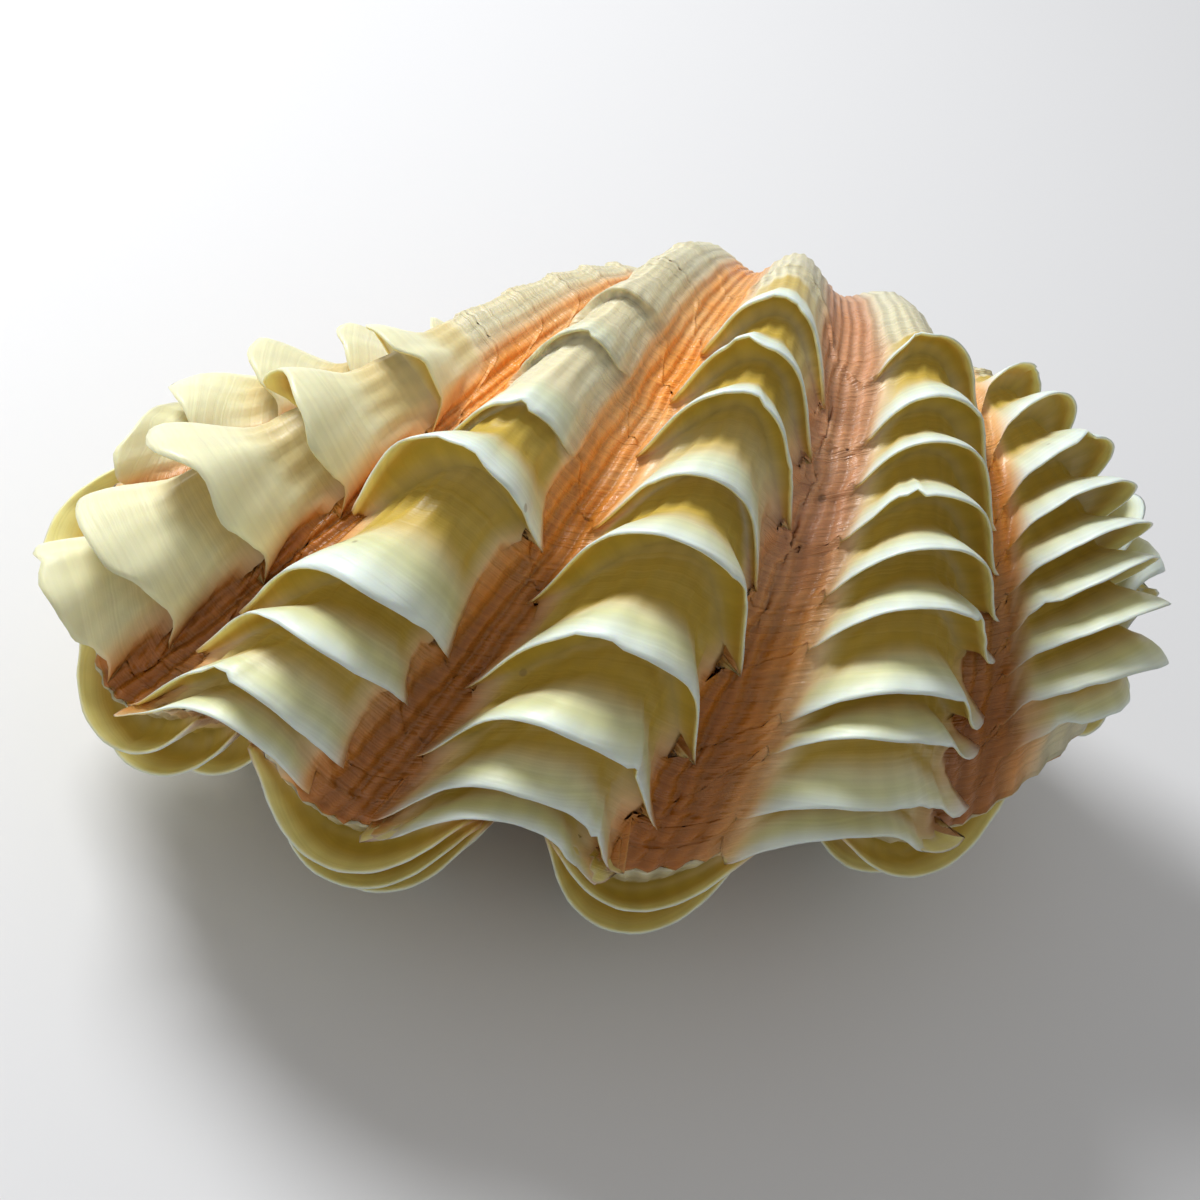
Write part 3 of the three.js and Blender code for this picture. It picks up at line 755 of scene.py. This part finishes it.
def grown(name, sheet, group, values):
    """Runs a node tree on a mesh and keeps the plain result as the finished piece."""
    source = bpy.data.objects.new(name + "_sheet", sheet)
    bpy.context.scene.collection.objects.link(source)
    modifier = source.modifiers.new("Grow Shell", "NODES")
    modifier.node_group = group
    for item in group.interface.items_tree:
        if item.item_type == "SOCKET" and item.in_out == "INPUT" and item.name in values:
            modifier[item.identifier] = values[item.name]
    depsgraph = bpy.context.evaluated_depsgraph_get()
    mesh = bpy.data.meshes.new_from_object(
        source.evaluated_get(depsgraph), preserve_all_data_layers=True, depsgraph=depsgraph,
    )
    bpy.data.objects.remove(source)
    bpy.data.meshes.remove(sheet)
    mesh.name = name
    mesh.materials.clear()
    mesh.materials.append(values["Finish"])
    mesh.polygons.foreach_set("material_index", np.zeros(len(mesh.polygons), np.int32))
    mesh.shade_smooth()
    piece = bpy.data.objects.new(name, mesh)
    bpy.context.scene.collection.objects.link(piece)
    return piece


# Finishes


def linear(colour):
    """A screen colour as the values that Blender's colour sockets hold."""
    return tuple(c / 12.92 if c <= 0.04045 else ((c + 0.055) / 1.055) ** 2.4 for c in colour[:3]) + (1.0,)


def growth_line_group():
    """Fine lines parallel to the margin and riblets across them, as masks and as height."""
    name = "Shell Growth Lines"
    if name in bpy.data.node_groups:
        return bpy.data.node_groups[name]
    group, tree, start, end = new_group(
        name, "ShaderNodeTree",
        [
            ("Growth", "NodeSocketVector", None),
            ("Place", "NodeSocketVector", None),
            ("Lines", "NodeSocketFloat", 240.0),
            ("Riblets", "NodeSocketFloat", 130.0),
        ],
        [(label, "NodeSocketFloat") for label in ("Line Mask", "Riblet Mask", "Height")],
    )
    given = start.outputs
    parts = tree.node("ShaderNodeSeparateXYZ", Vector=given["Growth"])
    wander = tree.math("MULTIPLY", tree.noise(given["Place"], 90.0, detail=2.0), 0.9)
    line_phase = tree.math("ADD", tree.math("MULTIPLY", parts.outputs[1], given["Lines"]), wander)
    uneven = tree.node(
        "ShaderNodeTexNoise", dict(noise_dimensions="1D"),
        W=line_phase, Scale=1.0, Detail=2.0, Roughness=0.7,
    ).outputs[0]
    riblet_phase = tree.math("ADD", tree.math("MULTIPLY", parts.outputs[0], given["Riblets"]), wander)
    riblets = tree.math("ADD", tree.math("MULTIPLY", tree.wave(riblet_phase), 0.5), 0.5)
    grain = tree.noise(given["Place"], 1500.0, detail=3.0, rough=0.6)
    height = tree.math("ADD", tree.math("MULTIPLY", uneven, 0.6), tree.math("MULTIPLY", riblets, 0.3))
    height = tree.math("ADD", height, tree.math("MULTIPLY", grain, 0.15))
    tree.feed(end.inputs["Line Mask"], uneven)
    tree.feed(end.inputs["Riblet Mask"], riblets)
    tree.feed(end.inputs["Height"], height)
    return group


def cleared_material(name):
    material = bpy.data.materials.new(name)
    material.use_nodes = True
    material.node_tree.nodes.clear()
    return material, Tree(material.node_tree)


def leaf_colour(tree, value, broad, settings):
    """Cream on the bare rib, olive down in the scoop of a leaf's face (partly its own ochre, partly painted
    shade from the leaf above), white towards its lip with a painted cool tint of sky light.
    """
    leaf, around = value["leaf"], value["around"]
    colour = tree.blend(broad, linear(settings.rib_colour), linear(settings.rib_warm_colour))
    high_leaf = tree.ramp(leaf, 1.5, 6.0)
    any_leaf = tree.ramp(leaf, 0.8, 3.0)
    wander = tree.math("MULTIPLY", tree.math("SUBTRACT", broad, 0.5), 0.35)
    along = tree.math("ADD", value["lip"], wander)
    # Round the loop, the hoods end and the tongues of the narrow end begin between these two places
    hoods_end, tongues_start = 1.65, 1.35
    # Olive ochre in the scoop below each lip: partly the shell's own colour, partly painted shade from the
    # leaf above; weaker on the tongues
    scoop_ochre_and_shade = tree.math("MULTIPLY", tree.ramp(along, 0.45, 0.78, 1.0, 0.0), high_leaf)
    scoop_depth = tree.ramp(around, hoods_end, tongues_start, 0.92, 0.45)
    colour = tree.blend(tree.math("MULTIPLY", scoop_ochre_and_shade, scoop_depth), colour, linear(settings.hollow_ochre_and_shade_colour))
    face = tree.math("MULTIPLY", tree.ramp(along, 0.58, 0.8), any_leaf)
    colour = tree.blend(face, colour, linear(settings.face_colour))
    # Nearer the beak the white runs further down from the lip
    white_from = tree.ramp(value["turn"], 0.2, 0.7, 0.76, 0.6)
    white = tree.math("MULTIPLY", tree.ramp(along, white_from, 1.0), any_leaf)
    on_tongue = tree.ramp(around, hoods_end, tongues_start)
    high_tongue = tree.math("MULTIPLY", on_tongue, high_leaf)
    tongue = tree.math("MULTIPLY", tree.ramp(along, 0.3, 0.6), high_tongue)
    colour = tree.blend(tongue, colour, linear(settings.tongue_colour))
    # The cool tint of the lip colour is painted sky light; the white itself is the leaves' own
    lip_tint = tree.blend(on_tongue, linear(settings.lip_colour), linear(settings.tongue_colour))
    return tree.blend(white, colour, lip_tint)


def groove_colour(tree, value, edge, place, settings):
    """Orange with rosy patches, painted shade of dark brown deep in the grooves by the margin, and dusky
    high in the middle groove.
    """
    turn = value["turn"]
    patches = tree.ramp(tree.noise(place, 55.0, detail=3.0, rough=0.6), 0.35, 0.65)
    colour = tree.blend(patches, linear(settings.groove_colour), linear(settings.rose_colour))
    # Painted shade: dark brown deep in the grooves near the margin, where they face away from the light
    painted_shade = tree.math("MULTIPLY", tree.ramp(turn, 0.85, 0.2), tree.ramp(edge, 0.55, 1.0))
    colour = tree.blend(tree.math("MULTIPLY", painted_shade, 0.85), colour, linear(settings.groove_shade_colour))
    from_middle = tree.math("ABSOLUTE", tree.math("SUBTRACT", value["around"], DUSKY_GROOVE))
    dusky = tree.math("MULTIPLY", tree.ramp(from_middle, 0.2, 0.5, 1.0, 0.0), tree.ramp(turn, 0.35, 0.65))
    return tree.blend(tree.math("MULTIPLY", dusky, 0.7), colour, linear(settings.dusky_colour))


def shell_finish(name, settings, warmth, brightness):
    """Chalky shell: cream ribs, pale leaf lips with a painted cool tint of sky light, olive hollows partly
    darkened as painted shade with a painted glow under the lips, and orange grooves with painted shade deep
    by the margin.
    """
    material, tree = cleared_material(name)
    value = {}
    for key in ("lip", "hollow", "groove", "inside", "leaf", "turn", "around"):
        read = dict(attribute_type="GEOMETRY", attribute_name=key)
        value[key] = tree.node("ShaderNodeAttribute", read).outputs["Fac"]
    place = tree.node("ShaderNodeTexCoord").outputs["Object"]
    growth = tree.node("ShaderNodeUVMap", dict(uv_map="growth")).outputs["UV"]
    lines = tree.node("ShaderNodeGroup", dict(node_tree=growth_line_group()), Growth=growth, Place=place)
    broad = tree.noise(place, 28.0, detail=3.0, rough=0.55)
    fine = tree.noise(place, 240.0, detail=4.0, rough=0.6)

    colour = leaf_colour(tree, value, broad, settings)
    uneven_edge = tree.math("MULTIPLY", tree.math("SUBTRACT", broad, 0.5), 0.7)
    edge = tree.math("ADD", value["groove"], uneven_edge)
    in_groove = tree.math("MULTIPLY", tree.ramp(edge, 0.3, 0.8), tree.ramp(value["leaf"], 6.0, 0.8))
    orange = groove_colour(tree, value, edge, place, settings)
    colour = tree.blend(tree.math("MULTIPLY", in_groove, warmth), colour, orange)
    # Under a leaf: a painted glow of light through the thin leaf near its lip, and ochre with painted shade
    # deep in the hollow
    deep = tree.ramp(value["lip"], 0.8, 0.1)
    under = tree.blend(deep, linear(settings.leaf_underside_and_glow_colour), linear(settings.hollow_ochre_and_shade_colour))
    colour = tree.blend(tree.math("MULTIPLY", value["hollow"], 0.92), colour, under)
    colour = tree.blend(value["inside"], colour, linear(settings.inside_colour))

    # Growth lines and riblets darken the bare shell more than the smooth leaves
    bare = tree.ramp(value["leaf"], 0.5, 3.5, 1.0, 0.0)
    darkest_line = tree.ramp(bare, 0.0, 1.0, 0.95, 0.86)
    line_shade = tree.ramp(lines.outputs["Line Mask"], 0.3, 0.7, darkest_line, 1.02)
    darkest_riblet = tree.ramp(bare, 0.0, 1.0, 0.97, 0.86)
    riblet_shade = tree.ramp(lines.outputs["Riblet Mask"], 0.0, 1.0, darkest_riblet, 1.03)
    shade = tree.math("MULTIPLY", tree.math("MULTIPLY", line_shade, riblet_shade), brightness)
    shade_colour = tree.node("ShaderNodeCombineXYZ", X=shade, Y=shade, Z=shade).outputs[0]
    colour = tree.blend(1.0, colour, shade_colour, "MULTIPLY")
    speck = tree.node("ShaderNodeTexVoronoi", dict(feature="F1"), Vector=place, Scale=95.0, Randomness=1.0)
    near_speck = tree.ramp(speck.outputs["Distance"], 0.05, 0.09, 1.0, 0.0)
    dot = tree.math("MULTIPLY", near_speck, tree.ramp(broad, 0.52, 0.6))
    colour = tree.blend(tree.math("MULTIPLY", dot, 0.6), colour, linear(SPECK_COLOUR))

    rough = tree.ramp(fine, 0.3, 0.7, 0.34, 0.52)
    rough = tree.math("ADD", rough, tree.math("MULTIPLY", in_groove, -0.08))
    relief = tree.ramp(bare, 0.0, 1.0, 0.2, 0.9)
    bump = tree.node("ShaderNodeBump", Strength=relief, Distance=0.0008, Height=lines.outputs["Height"])
    shader = tree.node("ShaderNodeBsdfPrincipled", dict(subsurface_method="RANDOM_WALK"))
    tree.feed(shader.inputs["Base Color"], colour)
    tree.feed(shader.inputs["Roughness"], rough)
    tree.feed(shader.inputs["Normal"], bump.outputs[0])
    shader.inputs["Subsurface Weight"].default_value = 0.25
    shader.inputs["Subsurface Radius"].default_value = (1.0, 0.7, 0.3)
    shader.inputs["Subsurface Scale"].default_value = 0.002
    shader.inputs["Specular IOR Level"].default_value = 0.45
    tree.node("ShaderNodeOutputMaterial", Surface=shader.outputs[0])
    return material


def ligament_finish(name):
    """Dry brown horn, split along its length."""
    material, tree = cleared_material(name)
    place = tree.node("ShaderNodeTexCoord").outputs["Object"]
    drawn = tree.node(
        "ShaderNodeMapping", Vector=place, Rotation=(0.0, 0.0, -HINGE_TURN), Scale=(6.0, 40.0, 90.0),
    ).outputs[0]
    fibres = tree.noise(drawn, 12.0, detail=5.0, rough=0.65)
    patches = tree.noise(place, 120.0, detail=3.0)
    colour = tree.blend(fibres, linear(HORN_DARK), linear(HORN_BROWN))
    colour = tree.blend(tree.ramp(patches, 0.55, 0.75), colour, linear(HORN_DRY))
    bump = tree.node("ShaderNodeBump", Strength=0.7, Distance=0.0008, Height=fibres)
    rough = tree.ramp(patches, 0.3, 0.7, 0.45, 0.75)
    shader = tree.node("ShaderNodeBsdfPrincipled")
    tree.feed(shader.inputs["Base Color"], colour)
    tree.feed(shader.inputs["Roughness"], rough)
    tree.feed(shader.inputs["Normal"], bump.outputs[0])
    tree.node("ShaderNodeOutputMaterial", Surface=shader.outputs[0])
    return material


def plain_finish(name, colour, roughness):
    material = bpy.data.materials.new(name)
    material.use_nodes = True
    shader = material.node_tree.nodes["Principled BSDF"]
    shader.inputs["Base Color"].default_value = linear(colour)
    shader.inputs["Roughness"].default_value = roughness
    return material


# Settings


class ClamShellSettings(bpy.types.PropertyGroup):
    rib_columns: IntProperty(
        name="Columns over the ribs", description="Divisions round the fluted part of a valve",
        default=400, min=80, max=440,
    )
    hinge_columns: IntProperty(
        name="Columns along the hinge", description="Divisions round the plain hinge side",
        default=36, min=8, max=60,
    )
    leaf_edge: FloatProperty(
        name="Leaf edge", description="Thickness of a leaf at its lip",
        default=0.0006, min=0.0004, max=0.002, unit="LENGTH",
    )
    riblet_height: FloatProperty(
        name="Riblet height", description="Height of the fine radial riblets",
        default=0.0004, min=0.0, max=0.001, unit="LENGTH",
    )
    riblets: FloatProperty(
        name="Riblets", description="Riblets from one rib to the next", default=12.0, min=4.0, max=20.0,
    )
    growth_line_height: FloatProperty(
        name="Growth line height", description="Height of the fine lines parallel to the margin",
        default=0.0002, min=0.0, max=0.001, unit="LENGTH",
    )
    growth_lines: FloatProperty(
        name="Growth lines", description="Growth lines for each radian that the valve coils",
        default=38.0, min=5.0, max=200.0,
    )
    unevenness: FloatProperty(
        name="Unevenness", description="Height of the irregular lumps",
        default=0.0007, min=0.0, max=0.003, unit="LENGTH",
    )
    rib_colour: FloatVectorProperty(
        name="Rib", description="Cream of the ribs",
        default=(0.88, 0.885, 0.8), subtype="COLOR", min=0.0, max=1.0,
    )
    rib_warm_colour: FloatVectorProperty(
        name="Rib, warm patches", description="Warmer cream of the ribs",
        default=(0.88, 0.8, 0.58), subtype="COLOR", min=0.0, max=1.0,
    )
    # The leaf lip's cool tint is painted sky light on the leaves' own white
    lip_colour: FloatVectorProperty(
        name="Leaf lip", description="Cool white of the leaf tops",
        default=(0.88, 0.925, 0.89), subtype="COLOR", min=0.0, max=1.0,
    )
    face_colour: FloatVectorProperty(
        name="Leaf face", description="Pale green-grey half way up a leaf",
        default=(0.83, 0.835, 0.64), subtype="COLOR", min=0.0, max=1.0,
    )
    # The hollow colour is partly the shell's own ochre and partly painted shade under the leaves
    hollow_ochre_and_shade_colour: FloatVectorProperty(
        name="Hollow", description="Olive ochre of the hollows under the leaves",
        default=(0.75, 0.63, 0.2), subtype="COLOR", min=0.0, max=1.0,
    )
    tongue_colour: FloatVectorProperty(
        name="Tongues", description="Cream of the tongues at the narrow end",
        default=(0.9, 0.89, 0.74), subtype="COLOR", min=0.0, max=1.0,
    )
    # The leaf underside colour is partly the leaf's own pale yellow and partly a painted glow of light
    # shining through it
    leaf_underside_and_glow_colour: FloatVectorProperty(
        name="Leaf underside", description="Pale yellow of a leaf's underside near its lip",
        default=(0.92, 0.87, 0.56), subtype="COLOR", min=0.0, max=1.0,
    )
    groove_colour: FloatVectorProperty(
        name="Groove", description="Salmon orange of the grooves",
        default=(0.95, 0.62, 0.26), subtype="COLOR", min=0.0, max=1.0,
    )
    rose_colour: FloatVectorProperty(
        name="Groove, rosy patches", description="Rosy orange of the grooves",
        default=(0.93, 0.7, 0.44), subtype="COLOR", min=0.0, max=1.0,
    )
    dusky_colour: FloatVectorProperty(
        name="Groove, dusky", description="Dusky pink of the middle groove near the beak",
        default=(0.76, 0.56, 0.45), subtype="COLOR", min=0.0, max=1.0,
    )
    # This colour is painted shade deep in the grooves by the margin, not a colour of the shell
    groove_shade_colour: FloatVectorProperty(
        name="Groove, burnt", description="Burnt brown deep in the grooves by the margin",
        default=(0.6, 0.33, 0.0), subtype="COLOR", min=0.0, max=1.0,
    )
    inside_colour: FloatVectorProperty(
        name="Inside", description="Porcelain white of the inner face",
        default=(0.95, 0.94, 0.9), subtype="COLOR", min=0.0, max=1.0,
    )


class ClamStageSettings(bpy.types.PropertyGroup):
    floor_colour: FloatVectorProperty(
        name="Floor", description="Colour of the plain floor",
        default=(0.895, 0.895, 0.9), subtype="COLOR", min=0.0, max=1.0,
    )
    key_power: FloatProperty(
        name="Key light", description="Power of the large soft light", default=7.7, min=0.0, unit="POWER",
    )
    fill_power: FloatProperty(
        name="Fill light", description="Power of the weak light from the front",
        default=0.5, min=0.0, unit="POWER",
    )
    sky_strength: FloatProperty(
        name="Surroundings", description="Brightness of the plain surroundings", default=0.45, min=0.0,
    )
    lens: FloatProperty(
        name="Lens", description="Focal length on a 36 mm sensor",
        default=78.8, min=20.0, max=200.0, unit="CAMERA",
    )


# Operators


def make_valve(context, name, side, ribs, first, finish):
    """Builds, grows and places one valve over its CAD node."""
    settings = context.scene.clam_shell
    edge = settings.leaf_edge / MM
    sheet = valve_sheet(name, side, ribs, first, settings.rib_columns, settings.hinge_columns, edge)
    group = bpy.data.node_groups.get("Grow Shell") or grow_shell_tree()
    values = {
        "Shrink": SHRINK,
        "Side": float(side),
        "Hinge Turn": HINGE_TURN,
        "Beak": (BEAK[0] * MM, BEAK[1] * MM, (BEAK[2] + 0.5 * MEETING_GAP * side) * MM),
        "Riblet Height": settings.riblet_height,
        "Riblets": settings.riblets,
        "Growth Line Height": settings.growth_line_height,
        "Growth Lines": settings.growth_lines,
        "Unevenness": settings.unevenness,
        "Finish": finish,
    }
    piece = grown(name + "_shell", sheet, group, values)
    if len(piece.data.vertices) < LEAST_POINTS:
        raise RuntimeError(name + " came out empty")
    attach(piece, "root")
    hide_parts(name)
    return piece


class SHELL_OT_upper_valve(bpy.types.Operator):
    """Grow the upper valve with its seven fluted ribs"""

    bl_idname = "shell.upper_valve"
    bl_label = "Upper Valve"

    def execute(self, context):
        finish = shell_finish("upper shell", context.scene.clam_shell, warmth=1.0, brightness=1.0)
        piece = make_valve(context, "upper_valve", 1, UPPER_RIBS, 0.0, finish)
        return {"FINISHED"}


class SHELL_OT_lower_valve(bpy.types.Operator):
    """Grow the lower valve, whose ribs lie between those of the upper one"""

    bl_idname = "shell.lower_valve"
    bl_label = "Lower Valve"

    def execute(self, context):
        finish = shell_finish("lower shell", context.scene.clam_shell, warmth=0.8, brightness=0.97)
        piece = make_valve(context, "lower_valve", -1, LOWER_RIBS, -0.5, finish)
        return {"FINISHED"}


class SHELL_OT_ligament(bpy.types.Operator):
    """Lay the dried ligament along the hinge"""

    bl_idname = "shell.ligament"
    bl_label = "Ligament"

    def execute(self, context):
        low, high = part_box("ligament")
        centre = Vector(((low[0] + high[0]) / 2, low[1], (low[2] + high[2]) / 2))
        half = Vector(((high[0] - low[0]) / 2, high[1] - low[1], (high[2] - low[2]) / 2))
        points, faces = [], []
        for i in range(LIGAMENT_SECTIONS + 1):
            t = -math.cos(math.pi * i / LIGAMENT_SECTIONS)
            swell = math.sqrt(max(0.0, 1 - t * t))
            for j in range(LIGAMENT_SIDES):
                a = 2 * math.pi * j / LIGAMENT_SIDES
                crack = 1 - LIGAMENT_CRACK * float(ripple(np.array(t * 9.0 + 3 * math.sin(a)), 3))
                crack = crack - LIGAMENT_FIBRE * math.cos(LIGAMENT_FIBRES * a)
                y = max(math.cos(a), 0.0) * crack
                z = math.sin(a) * (crack if y > 0 else 1.0)
                points.append(centre + Vector((t * half.x, y * swell * half.y, z * swell * half.z)))
        for i in range(LIGAMENT_SECTIONS):
            here, after = i * LIGAMENT_SIDES, (i + 1) * LIGAMENT_SIDES
            for j in range(LIGAMENT_SIDES):
                k = (j + 1) % LIGAMENT_SIDES
                faces.append((here + j, after + j, after + k, here + k))
        mesh = bpy.data.meshes.new("ligament_horn")
        mesh.from_pydata([tuple(point) for point in points], [], faces)
        mesh.shade_smooth()
        mesh.materials.append(ligament_finish("ligament horn"))
        piece = bpy.data.objects.new("ligament_horn", mesh)
        context.scene.collection.objects.link(piece)
        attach(piece, "root")
        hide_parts("ligament")
        return {"FINISHED"}


def add_floor(scene, colour):
    corners = [(x * FLOOR_HALF, y * FLOOR_HALF, 0) for x, y in ((-1, -1), (1, -1), (1, 1), (-1, 1))]
    mesh = bpy.data.meshes.new("floor")
    mesh.from_pydata(corners, [], [(0, 1, 2, 3)])
    mesh.materials.append(plain_finish("pale floor", colour, 0.7))
    floor = bpy.data.objects.new("floor", mesh)
    scene.collection.objects.link(floor)


def add_camera(scene, lens):
    """Looks down on the open side from the left, rolled to the left."""
    c, s = math.cos(CAMERA_ELEVATION), math.sin(CAMERA_ELEVATION)
    forward = Vector((-math.sin(CAMERA_AZIMUTH) * c, math.cos(CAMERA_AZIMUTH) * c, -s))
    level = Vector((math.cos(CAMERA_AZIMUTH), math.sin(CAMERA_AZIMUTH), 0.0))
    upright = level.cross(forward)
    right = math.cos(CAMERA_ROLL) * level + math.sin(CAMERA_ROLL) * upright
    up = -math.sin(CAMERA_ROLL) * level + math.cos(CAMERA_ROLL) * upright
    to_right, to_top, ahead = CAMERA_TO_BEAK
    eye = Vector(BEAK) - (to_right * right + to_top * up + ahead * forward)
    data = bpy.data.cameras.new("camera")
    data.lens = lens
    data.sensor_width = SENSOR_WIDTH
    data.clip_start, data.clip_end = 0.05, 20.0
    camera = bpy.data.objects.new("camera", data)
    turn = Matrix((right, up, -forward)).transposed().to_4x4()
    camera.matrix_world = Matrix.Translation(eye * MM) @ turn
    scene.collection.objects.link(camera)
    scene.camera = camera


def add_light(scene, name, place, size, power, colour):
    data = bpy.data.lights.new(name, "AREA")
    data.shape = "DISK"
    data.size = size
    data.energy = power
    data.color = colour
    light = bpy.data.objects.new(name, data)
    light.location = place
    light.rotation_mode = "QUATERNION"
    light.rotation_quaternion = (Vector(LIGHT_TARGET) - place).to_track_quat("-Z", "Y")
    scene.collection.objects.link(light)


class SHELL_OT_stage(bpy.types.Operator):
    """Set the floor, the soft lights and the camera"""

    bl_idname = "shell.stage"
    bl_label = "Stage"

    def execute(self, context):
        scene = context.scene
        settings = scene.clam_stage
        add_floor(scene, settings.floor_colour)
        add_camera(scene, settings.lens)
        key_place = Vector(KEY_DIRECTION) * KEY_DISTANCE
        add_light(scene, "key light", key_place, KEY_SIZE, settings.key_power, KEY_COLOUR)
        add_light(scene, "fill light", Vector(FILL_PLACE), FILL_SIZE, settings.fill_power, FILL_COLOUR)
        world = bpy.data.worlds.new("plain surroundings")
        world.use_nodes = True
        background = world.node_tree.nodes["Background"]
        background.inputs["Color"].default_value = linear(SKY_COLOUR)
        background.inputs["Strength"].default_value = settings.sky_strength
        scene.world = world
        scene.view_settings.view_transform = "Standard"
        return {"FINISHED"}


class SHELL_PT_builder(bpy.types.Panel):
    bl_idname = "SHELL_PT_builder"
    bl_label = "Clam Shell"
    bl_space_type = "VIEW_3D"
    bl_region_type = "UI"
    bl_category = "Clam Shell"

    def draw(self, context):
        column = self.layout.column()
        for group in (context.scene.clam_shell, context.scene.clam_stage):
            for key in group.bl_rna.properties.keys():
                if key not in {"rna_type", "name"}:
                    column.prop(group, key)
        for operator in OPERATORS:
            column.operator(operator.bl_idname)


OPERATORS = (SHELL_OT_upper_valve, SHELL_OT_lower_valve, SHELL_OT_ligament, SHELL_OT_stage)
CLASSES = (ClamShellSettings, ClamStageSettings, *OPERATORS, SHELL_PT_builder)


def register():
    for cls in CLASSES:
        bpy.utils.register_class(cls)
    bpy.types.Scene.clam_shell = PointerProperty(type=ClamShellSettings)
    bpy.types.Scene.clam_stage = PointerProperty(type=ClamStageSettings)


def unregister():
    del bpy.types.Scene.clam_stage
    del bpy.types.Scene.clam_shell
    for cls in reversed(CLASSES):
        bpy.utils.unregister_class(cls)


def main():
    register()
    bpy.ops.shell.upper_valve()
    bpy.ops.shell.lower_valve()
    bpy.ops.shell.ligament()
    bpy.ops.shell.stage()
    bpy.context.view_layer.update()


if __name__ == "__main__":
    main()
